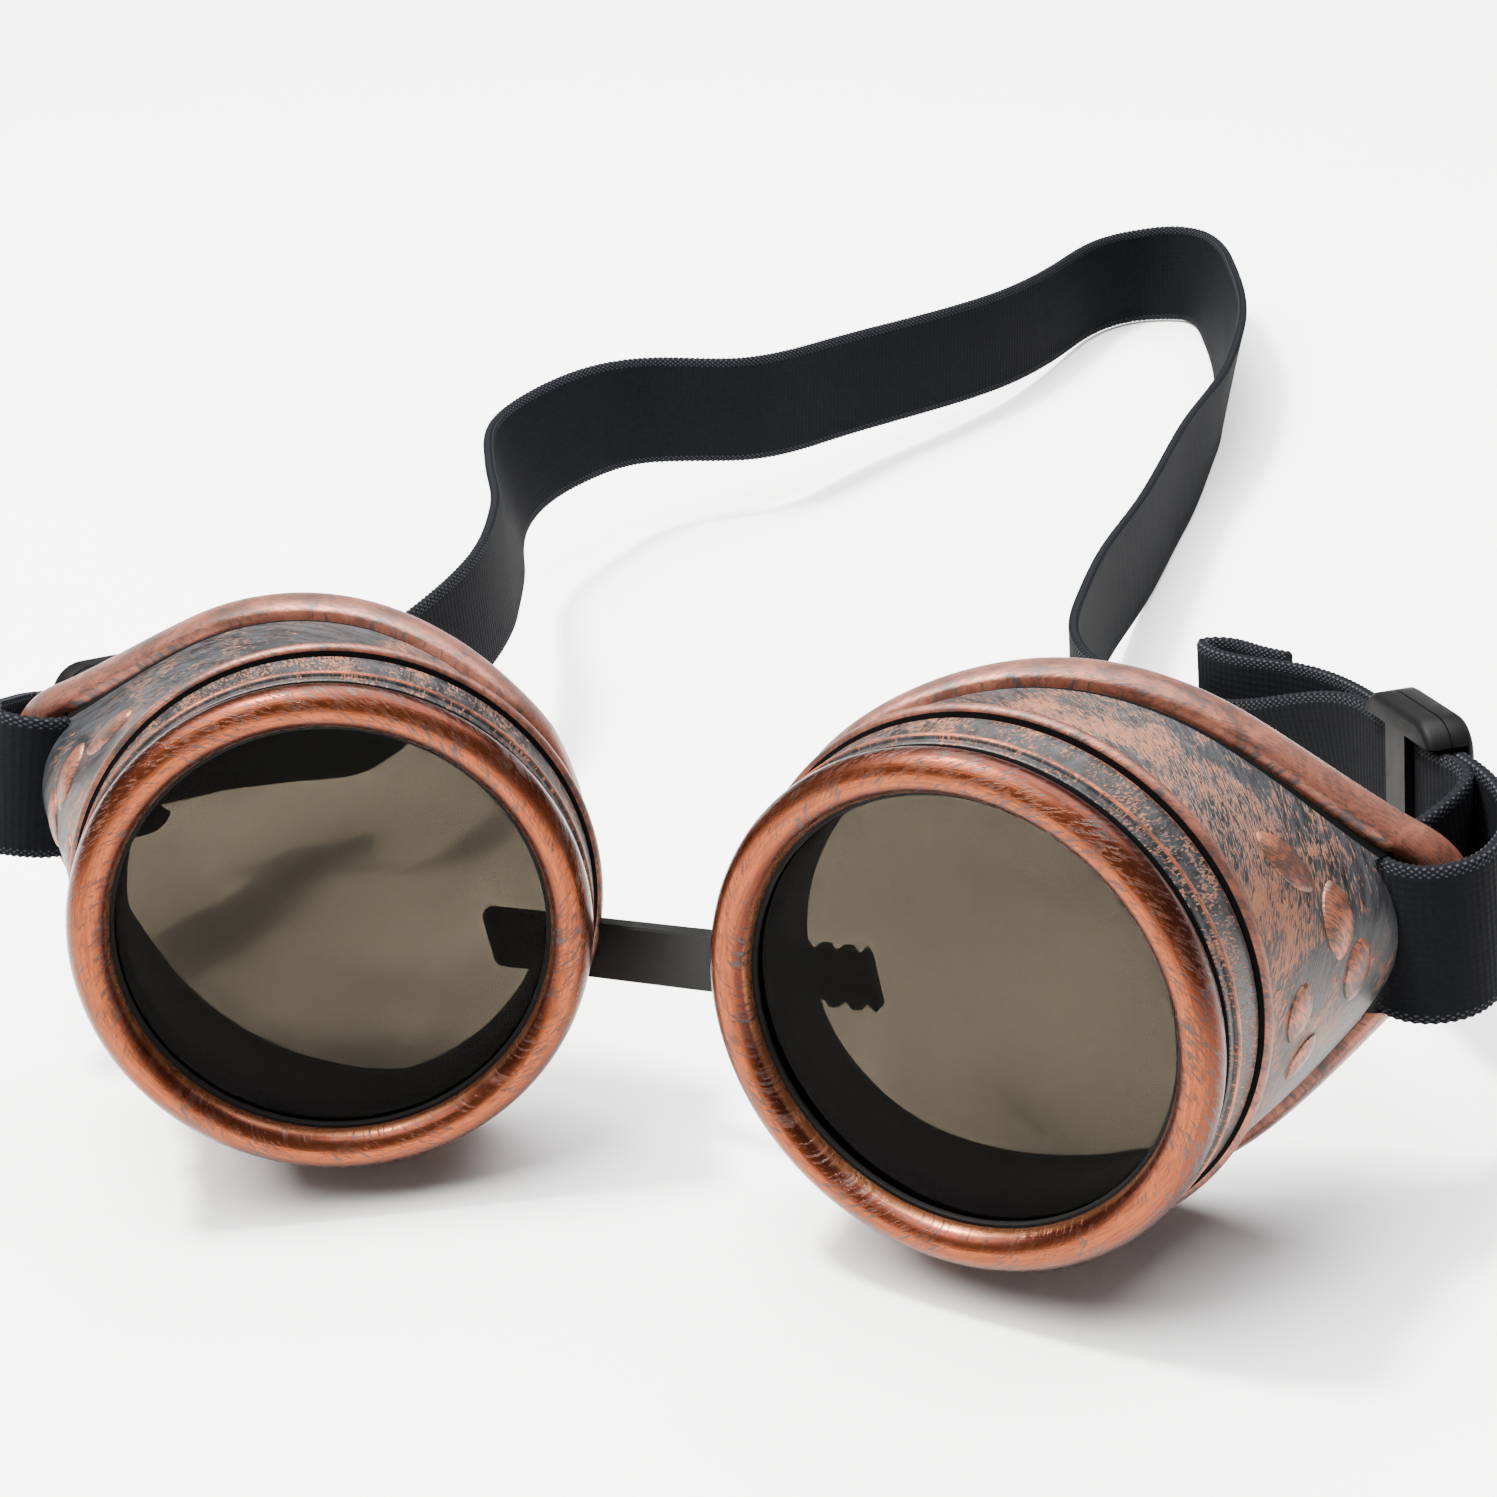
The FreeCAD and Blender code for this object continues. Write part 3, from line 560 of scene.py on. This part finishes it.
def eye_cup(side):
    """The flared shell with its bead, slots, front ring and vent leaves."""
    fronts, backs = cone_lines()
    count = len(fronts)
    verts, index = [], []
    for i in range(count):
        front, back = fronts[i], backs[i]
        share = rim_share(front, back)
        edge = front.lerp(back, share)
        along = (edge - front).normalized()
        here = (share + 0.3) / 2
        ahead = fronts[(i + 1) % count].lerp(backs[(i + 1) % count], here)
        behind = fronts[i - 1].lerp(backs[i - 1], here)
        normal = (ahead - behind).cross(along).normalized()
        if normal.x * edge.x + normal.z * edge.z < 0:
            normal.negate()
        temple, nose = share_between(edge.x, *TEMPLE_FADE), share_between(edge.x, *NOSE_FADE)
        line = meridian((edge - front).length, temple, nose)
        verts += [edge - along * e + normal * h for e, h, _ in line]
        index += [line[(k + 1) % len(line)][2] if k else 0 for k in range(len(line))]
    copper = copper_bead("rim_copper", side)
    worn = copper_bead("leaf_copper", side, (0.26, 0.085, 0.045), 0.06)
    materials = [dry_brushed("cone", side, CONE_COPPER[side], -0.05 * SIDES[side], grey=1.0, fade=0.007),
                 copper, GROOVE, BLACK_CUP]
    faces = grid_faces(count, len(line))
    cone = mesh_object(side + "_cup_shell", verts, faces, CUPS[side], materials, index)
    tree = BVHTree.FromObject(cone, bpy.context.evaluated_depsgraph_get())
    slot = block("slot", *SLOT, CUPS[side], BLACK_CUP)
    relief = block("relief", *RELIEF, CUPS[side], BLACK_CUP)
    cut(cone, [slot, relief, strip_cutter(side)])
    cup = joined([cone, front_ring(side, copper)] + [leaf(side, tree, place, worn) for place in LEAVES])
    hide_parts(side + "_eye_cup")
    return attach(cup, side + "_cup")


def front_ring(side, copper):
    """Flange bead and threaded spigot; the profile is (radius, depth, material)."""
    verts, index = [], []
    count, steps = 240, 18
    profile = [(27.3, FLANGE_Y, 2), (29.6, FLANGE_Y, 2), (30.0, 12.05, 1), (FLANGE_R, 12.35, 1),
               (30.25, 12.8, 1), (30.1, 13.3, 1), (29.7, 13.65, 1), (29.2, 13.85, 2), (29.0, 14.3, 2),
               (27.2, 14.4, 3), (24.0, 14.4, 3), (BORE_R, 14.2, 3), (BORE_R, 8.3, 3), (24.1, SPIGOT_Y, 3),
               (26.1, SPIGOT_Y, 3), (26.4, THREAD_START, 3)]
    first, last = THREAD_START + 0.2, FLANGE_Y - 0.3
    thread = [first + (last - first) * i / steps for i in range(steps + 1)]
    for i in range(count):
        turn = 2 * math.pi * i / count
        line = [(r, y) for r, y, _ in profile]
        for y in thread:
            phase = (y / THREAD_PITCH - turn / (2 * math.pi)) % 1.0
            crest = max(0.0, 1 - abs(phase - 0.5) / THREAD_FLANK)
            fade = min(1.0, (y - THREAD_START) / THREAD_FADE, (FLANGE_Y - y) / THREAD_FADE)
            line.append((THREAD_ROOT + THREAD_TALL * crest * max(fade, 0.0), y))
        verts += [(r * math.cos(turn), y, r * math.sin(turn)) for r, y in line]
        index += [profile[min(k + 1, len(profile) - 1)][2] for k in range(len(line))]
    faces = grid_faces(count, len(profile) + len(thread))
    return mesh_object("front_ring", verts, faces, CUPS[side], [BLACK_CUP, copper, GROOVE, BLACK_CUP], index)


def leaf(side, tree, place, copper):
    """A raised leaf on the temple side of the cone, laid onto its surface."""
    height, depth, long_axis, short_axis, tilt, proud = place
    matrix = CUPS[side]
    turned = matrix.to_3x3()
    start = matrix @ Vector((80, depth, height))
    hit, normal, _, _ = tree.ray_cast(start, (turned @ Vector((-1, 0, 0))).normalized())
    upward = (turned @ Vector((0, 0, 1))).normalized()
    upward = (upward - normal * upward.dot(normal)).normalized()
    backward = (turned @ Vector((0, 1, 0))).normalized()
    backward = (backward - normal * backward.dot(normal) - upward * backward.dot(upward)).normalized()
    lean = math.radians(tilt)
    length = upward * math.cos(lean) + backward * math.sin(lean)
    width = backward * math.cos(lean) - upward * math.sin(lean)
    rings, points, sunk = 9, 40, -0.4
    verts = []
    for ring in range(rings + 1):
        share = 1 - ring / rings
        rise = proud * (1 - share ** 2) ** 0.75 if ring else sunk
        for k in range(points):
            turn = 2 * math.pi * k / points
            blade = abs(math.sin(turn)) ** 1.25 * math.copysign(1, math.sin(turn))
            offset = length * (math.cos(turn) * long_axis / 2) + width * (blade * short_axis / 2)
            offset = offset * 0.001 * share
            found = tree.ray_cast(hit + offset + normal * 0.01, -normal)
            base = found[0] if found[0] else hit + offset
            verts.append(base + normal * rise * 0.001)
    faces = grid_faces(rings + 1, points, wrap_rows=False)
    faces.append(tuple(range(points)))
    return mesh_object("leaf", verts, faces, Matrix.Identity(4), [BLACK_CUP, copper], [1] * len(faces))


# ---- nose strip -------------------------------------------------------------------------------------------
def strip_matrix():
    """Origin where the strip enters the left cup, X along it towards the right cup, Z its upper edge."""
    heading = Vector(JOINTS["right_strip_slide"]["axis"]).normalized()
    side = Vector((0, 0, 1)).cross(heading).normalized()
    matrix = Matrix((heading, side, heading.cross(side))).transposed().to_4x4()
    matrix.translation = Vector(JOINTS["left_bridge_flex"]["pos_m"])
    return matrix @ MM


def strip_cutter(side):
    """Cuts the slot through which the strip enters a cup."""
    centre = 0.0 if side == "left" else STRIP_SPAN
    x, y, z = STRIP_SLOT
    return block("strip_slot", (centre - x, -y, -z), (centre + x, y, z), strip_matrix(), BLACK_CUP)


def nose_strip():
    """A flat rubber strip with rounded edges and three pairs of notches at its right end."""
    half, end = STRIP_W / 2, STRIP_LONG - STRIP_BEFORE
    top = [(-STRIP_BEFORE, half - 0.7), (-STRIP_BEFORE + 0.7, half)]
    top += [(x, half) for x in range(-8, int(end - NOTCHES * NOTCH_PITCH) - 1, 6)]
    for notch in reversed(range(NOTCHES)):
        centre = end - NOTCH_PITCH * (notch + 0.5)
        for k in range(9):
            turn = math.pi * (1 - k / 8)
            top.append((centre + NOTCH_R * math.cos(turn), half - NOTCH_R * math.sin(turn)))
    top += [(end - 0.5, half), (end, half - 0.6)]
    outline = top + [(x, -z) for x, z in reversed(top)]
    layers = [(-STRIP_T / 2, STRIP_ROUND), (-STRIP_T / 2 + STRIP_ROUND, 0.0),
              (STRIP_T / 2 - STRIP_ROUND, 0.0), (STRIP_T / 2, STRIP_ROUND)]
    verts = []
    for y, inset in layers:
        for x, z in outline:
            verts.append((min(max(x, -STRIP_BEFORE + inset), end - inset), y, z - math.copysign(inset, z)))
    n = len(outline)
    faces = grid_faces(len(layers), n, wrap_rows=False)
    for first in (0, (len(layers) - 1) * n):
        last = first + n - 1
        faces += [(first + i, first + i + 1, last - 1 - i, last - i) for i in range(n // 2 - 1)]
    strip = mesh_object("nose_bridge_strip", verts, faces, strip_matrix(), [RUBBER])
    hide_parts("nose_strip")
    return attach(strip, ROOT)


# ---- headband ---------------------------------------------------------------------------------------------
def natural_spline(points):
    """Chord lengths and second derivatives of a natural cubic spline through the points."""
    n = len(points)
    chords = [0.0]
    for a, b in zip(points, points[1:]):
        chords.append(chords[-1] + (b - a).length)
    zero = points[0] * 0
    upper, rest = [0.0] * n, [zero.copy() for _ in range(n)]
    for i in range(1, n - 1):
        h0, h1 = chords[i] - chords[i - 1], chords[i + 1] - chords[i]
        slope = ((points[i + 1] - points[i]) / h1 - (points[i] - points[i - 1]) / h0) * 6
        scale = 2 * (h0 + h1) - h0 * upper[i - 1]
        upper[i] = h1 / scale
        rest[i] = (slope - rest[i - 1] * h0) / scale
    second = [zero.copy() for _ in range(n)]
    for i in range(n - 2, 0, -1):
        second[i] = rest[i] - second[i + 1] * upper[i]
    return chords, second


def on_spline(points, chords, second, s):
    """The point of the spline at chord length s."""
    k = min(max(bisect.bisect(chords, s) - 1, 0), len(points) - 2)
    h = chords[k + 1] - chords[k]
    b = (s - chords[k]) / h
    a = 1 - b
    return (points[k] * a + points[k + 1] * b
            + (second[k] * (a ** 3 - a) + second[k + 1] * (b ** 3 - b)) * (h * h / 6))


def hem_run(side):
    """The tail from its fold, the starts of the two strands, the tail's direction and its outer side."""
    rise = Vector((0, 0, RISE[side]))
    outer, inner = GLIDE_START + GLIDE_OUT * LAYER + rise, GLIDE_START - GLIDE_OUT * LAYER + rise
    tail = [Vector((x, y, RISE[side])) for x, y in TAIL[side]]
    heading = (tail[0] - (tail + [outer + GLIDE_DIR * STRAIGHT])[1]).normalized()
    return tail, outer, inner, heading, heading.cross(Vector((0, 0, 1)))


def band_points(side):
    """Centre points and upward directions of one half of the band, from its hem to the far middle."""
    matrix = CUPS[side]
    up = (matrix.to_3x3() @ Vector((0, 0, 1))).normalized()
    tail, outer, inner, heading, out = hem_run(side)
    end, run, gap = tail[0], GLIDE_DIR * STRAIGHT, (BAND_T + HEM_GAP) / 2
    flap = end + out * gap * 2
    path = [flap - heading * HEM, flap - heading * HEM * 0.5, flap, end + out * gap + heading * gap * 0.95]
    path += tail + [outer + run * share for share in OUTER_SHARES]
    bend = range(len(path), len(path) + 2)
    path += [Vector((x, y, share * RISE[side])) for x, y, share in LOOP]
    path += [inner + run * share for share in INNER_SHARES]
    points = [(matrix @ p, up) for p in path]
    lean = (matrix.to_3x3() @ Vector((1, 0, 0))).normalized() * LOOP_LEAN[side]
    for k in bend:
        points[k] = (points[k][0] - lean * (BAND_W / 2 * 0.001), (up + lean).normalized())
    route = BAND_LEFT + [BAND_FAR] if side == "left" else list(reversed([BAND_FAR] + BAND_RIGHT))
    for k, (x, y, z, lean) in enumerate(route):
        before, after = route[max(k - 1, 0)], route[min(k + 1, len(route) - 1)]
        outward = Vector((-(after[1] - before[1]), after[0] - before[0], 0)).normalized() * -SIDES[side]
        tilted = (Vector((0, 0, 1)) + outward * (lean / BAND_W)).normalized()
        points.append((Vector((x, y, z + BAND_W / 2)) * 0.001, tilted))
    return points


def ribbon(name, stations):
    """A flat woven band with toothed edges through evenly spaced (point, direction, up) stations."""
    half_w, half_t = BAND_W / 2 * 0.001, BAND_T / 2 * 0.001
    section = [(-1.0, -0.45), (-0.985, -0.8), (-0.95, -1.0), (-0.82, -0.94), (-0.4, -0.93), (0.0, -0.93),
               (0.4, -0.93), (0.82, -0.94), (0.95, -1.0), (0.985, -0.8), (1.0, -0.45)]
    section += [(w, -t) for w, t in reversed(section)]
    verts, uvs = [], []
    for i, (point, heading, up) in enumerate(stations):
        side = heading.cross(up).normalized()
        s = i * STEP
        tooth = abs((s / RIB) % 1.0 - 0.5) * 2
        for w, t in section:
            edge = max(0.0, (abs(w) - 0.9) / 0.1)
            reach = half_w * (w - math.copysign(0.016 * tooth * edge, w))
            verts.append(point + up * reach + side * (t * half_t * (1 - 0.25 * tooth * edge)))
            uvs.append((s, w * BAND_W / 2))
    n = len(section)
    faces = grid_faces(len(stations), n, wrap_rows=False)
    faces += [tuple(range(n)), tuple(range((len(stations) - 1) * n, len(stations) * n))]
    return mesh_object(name, verts, faces, Matrix.Identity(4), [WEBBING], uvs=uvs)


def headband(side):
    """One half of the band, from its hem round the temple bar and on to the far middle."""
    points = band_points(side)
    beyond = band_points("right" if side == "left" else "left")[-2]
    centres, ups = [list(column) for column in zip(*points, beyond)]
    chords, second = natural_spline(centres)
    stop = chords[-2]
    count = int(stop / (STEP * 0.001))
    stations = []
    for i in range(count + 1):
        s = stop * i / count
        point = on_spline(centres, chords, second, s)
        ahead, behind = (on_spline(centres, chords, second, s + small) for small in (1e-4, -1e-4))
        heading = (ahead - behind).normalized()
        k = min(max(bisect.bisect(chords, s) - 1, 0), len(chords) - 2)
        share = (s - chords[k]) / (chords[k + 1] - chords[k])
        share = share * share * (3 - 2 * share)
        up = ups[k].lerp(ups[k + 1], share)
        stations.append((point, heading, (up - heading * up.dot(heading)).normalized()))
    band = ribbon(side + "_elastic_band", stations)
    replaced = [side + "_strap_loop"] + (["headband"] if side == "right" else [])
    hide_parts(*replaced)
    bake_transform(band)
    return band


def stitches(side):
    """Short twisted threads across the hem, on both of its faces, standing just clear of the webbing."""
    tail, _, _, heading, out = hem_run(side)
    rings, points = 9, 8
    verts, faces = [], []
    for face_side in (-1, 1):
        for row in range(STITCHES):
            height = (row - (STITCHES - 1) // 2) * (BAND_W - 2 * STITCH_EDGE) / (STITCHES - 1)
            foot = tail[0] - heading * (HEM - STITCH_BACK) + Vector((0, 0, height))
            inside, outside = -(BAND_T / 2 + STITCH_CLEAR), BAND_T * 1.5 + HEM_GAP + STITCH_CLEAR
            foot += out * (inside if face_side < 0 else outside)
            base = len(verts)
            for k in range(rings):
                t = k / (rings - 1) * 2 - 1
                thick = STITCH_R * math.sqrt(max(0.05, 1 - t ** 4)) * (1 + 0.18 * math.sin(k * 2.4))
                for j in range(points):
                    turn = 2 * math.pi * j / points
                    sunk = 0.1 * (t * t) * -face_side
                    verts.append(foot + Vector((0, 0, t * STITCH_HALF)) + heading * thick * math.cos(turn)
                                 + out * (thick * 0.8 * math.sin(turn) + sunk))
            faces += grid_faces(rings, points, wrap_rows=False, start=base)
            last = base + (rings - 1) * points
            faces += [tuple(range(base, base + points)), tuple(range(last, last + points))]
    obj = mesh_object(side + "_hem_thread", verts, faces, CUPS[side], [THREAD])
    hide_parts(side + "_hem_stitches")
    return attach(obj, side + "_cup")


# ---- tri-glide --------------------------------------------------------------------------------------------
def glide_matrix(side):
    """The slider's frame: X along the strap away from the bend, Y towards the head, Z up."""
    centre = GLIDE_START + GLIDE_DIR * GLIDE_AT[side] + Vector((0, 0, RISE[side]))
    local = Matrix((GLIDE_DIR.normalized(), -GLIDE_OUT.normalized(), Vector((0, 0, 1)))).transposed().to_4x4()
    local.translation = centre
    return CUPS[side] @ local


def tri_glide(side):
    """A rounded plate with a tunnel for the two strands, and open between its bars."""
    half_l, half_w, half_t = GLIDE_LONG / 2, GLIDE_WIDE / 2, GLIDE_THICK / 2
    long, wide, outline = half_l - GLIDE_ROUND, half_w - GLIDE_ROUND, []
    for cx, cz, start in ((long, wide, 0), (-long, wide, 90), (-long, -wide, 180), (long, -wide, 270)):
        for k in range(9):
            turn = math.radians(start + 90 * k / 8)
            outline.append((cx, cz, math.cos(turn), math.sin(turn)))
    layers = [(-half_t, 0.9), (-half_t + 0.25, 0.35), (-half_t + 0.8, 0.0), (-0.12, 0.0), (-0.06, 0.18),
              (0.06, 0.18), (0.12, 0.0), (half_t - 0.8, 0.0), (half_t - 0.25, 0.35), (half_t, 0.9)]
    verts = []
    for y, inset in layers:
        radius = GLIDE_ROUND - inset
        verts += [(cx + radius * c, y, cz + radius * s) for cx, cz, c, s in outline]
    n = len(outline)
    faces = grid_faces(len(layers), n, wrap_rows=False)
    faces += [tuple(range(n)), tuple(range(n * (len(layers) - 1), n * len(layers)))]
    matrix = glide_matrix(side)
    glide = mesh_object(side + "_slider", verts, faces, matrix, [SLIDER])
    window, gap = BAND_W / 2 + GLIDE_SIDE_PLAY, LAYER + BAND_T / 2 + GLIDE_PLAY
    bar, past = half_l - GLIDE_BAR, half_l + 1
    openings = [("tunnel", -past, past, -gap, gap), ("outer", -bar, bar, -half_t - 1, 0),
                ("inner", -past, -GLIDE_MIDDLE / 2, 0, half_t + 1),
                ("inner", GLIDE_MIDDLE / 2, past, 0, half_t + 1)]
    cut(glide, [block(name, (x0, y0, -window), (x1, y1, window), matrix, SLIDER)
                for name, x0, x1, y0, y1 in openings])
    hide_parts(side + "_tri_glide")
    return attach(glide, side + "_glide")


# ---- lens stack -------------------------------------------------------------------------------------------
def lens_stack(side):
    """The flat lenses with ground edges, and the rounded rubber rings in front of and behind them."""
    front, count = LIP_TUBE + STACK_PLAY, 200
    for node, thickness, bore, material, slot in STACK:
        front, back, edge = front + LENS_GAP, front + thickness - LENS_GAP, min(0.18, thickness / 4)
        rings = [(LENS_R - edge, front), (LENS_R, front + edge), (LENS_R, back - edge), (LENS_R - edge, back)]
        if bore:
            hole = [(bore + edge, back), (bore, back - edge)]
            verts, faces = lathe([(bore, front + edge), (bore + edge, front)] + rings + hole, count)
        else:
            circle = arc_points((0, 0), 1.0, 0, 360, count)
            verts = [(r * x, y, r * z) for r, y in rings for x, z in circle]
            faces = grid_faces(len(rings), count, wrap_rows=False)
            faces += [tuple(range(count)), tuple(range(3 * count, 4 * count))]
        piece = mesh_object(side + "_" + node + "_disc", verts, faces, CUPS[side], [material])
        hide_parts(side + "_" + node)
        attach(piece, side + "_lens_pack")
        front = back + LENS_GAP


# ---- stage, lights and camera -----------------------------------------------------------------------------
def floor():
    """A plain pale floor, just below the lowest point."""
    s = Shader("pale_floor")
    grain = s.noise(s.place(), 0.05, 3)
    pale = s.mix(grain, (0.90, 0.90, 0.90), (0.93, 0.93, 0.93))
    s.finish(Base_Color=pale, Roughness=0.9, Specular_IOR_Level=0.1)
    corners = [(x * FLOOR_HALF, y * FLOOR_HALF, 0) for x, y in ((-1, -1), (1, -1), (1, 1), (-1, 1))]
    obj = mesh_object("floor", corners, [(0, 1, 2, 3)], Matrix.Identity(4), [s.material])
    obj.location.z = -FLOOR_DROP


def area(name, place, target, size, power, colour=(1, 1, 1)):
    light = bpy.data.lights.new(name, "AREA")
    light.shape, light.energy, light.color = "RECTANGLE", power, colour
    light.size, light.size_y = size
    obj = bpy.data.objects.new(name, light)
    obj.location = place
    obj.rotation_euler = (Vector(target) - Vector(place)).to_track_quat("-Z", "Y").to_euler()
    bpy.context.scene.collection.objects.link(obj)


def studio():
    """Soft light from above: a pale dome, brightest overhead, and three area lights."""
    world = bpy.data.worlds.new("studio")
    world.use_nodes = True
    background = world.node_tree.nodes["Background"]
    tree = world.node_tree
    height = tree.nodes.new("ShaderNodeSeparateXYZ")
    tree.links.new(tree.nodes.new("ShaderNodeTexCoord").outputs["Generated"], height.inputs[0])
    rise = tree.nodes.new("ShaderNodeMapRange")
    rise.interpolation_type = "SMOOTHSTEP"
    for socket, value in zip(rise.inputs[1:5], (0.02, 0.95, 1.0, 7.5)):
        socket.default_value = value
    tree.links.new(height.outputs[2], rise.inputs[0])
    tree.links.new(rise.outputs[0], background.inputs[1])
    bpy.context.scene.world = world
    area("key", (-0.30, -0.30, 0.9), (0, -0.08, 0.02), (0.8, 0.8), 34, (1.0, 0.98, 0.95))
    area("crest", (-0.33, -0.12, 0.93), (0, -0.08, 0.02), (0.12, 0.12), 30, (1.0, 0.97, 0.92))
    area("top", (0.1, 0.35, 0.9), (0, 0, 0.02), (1.2, 0.7), 34)


def camera():
    """The place and aim from which the photograph was taken."""
    view = bpy.data.cameras.new("camera")
    view.lens, view.sensor_width, view.clip_start = CAMERA_LENS, SENSOR, 0.01
    obj = bpy.data.objects.new("camera", view)
    axes = [axis.normalized() for axis in (CAMERA_RIGHT, CAMERA_UP, CAMERA_BACK)]
    matrix = Matrix(axes).transposed().to_4x4()
    matrix.translation = Vector(CAMERA_AT)
    obj.matrix_world = matrix
    bpy.context.scene.collection.objects.link(obj)
    bpy.context.scene.camera = obj


for each in SIDES:
    screw_cap(each)
    eye_cup(each)
    headband(each)
    stitches(each)
    tri_glide(each)
    lens_stack(each)
nose_strip()
floor()
studio()
camera()
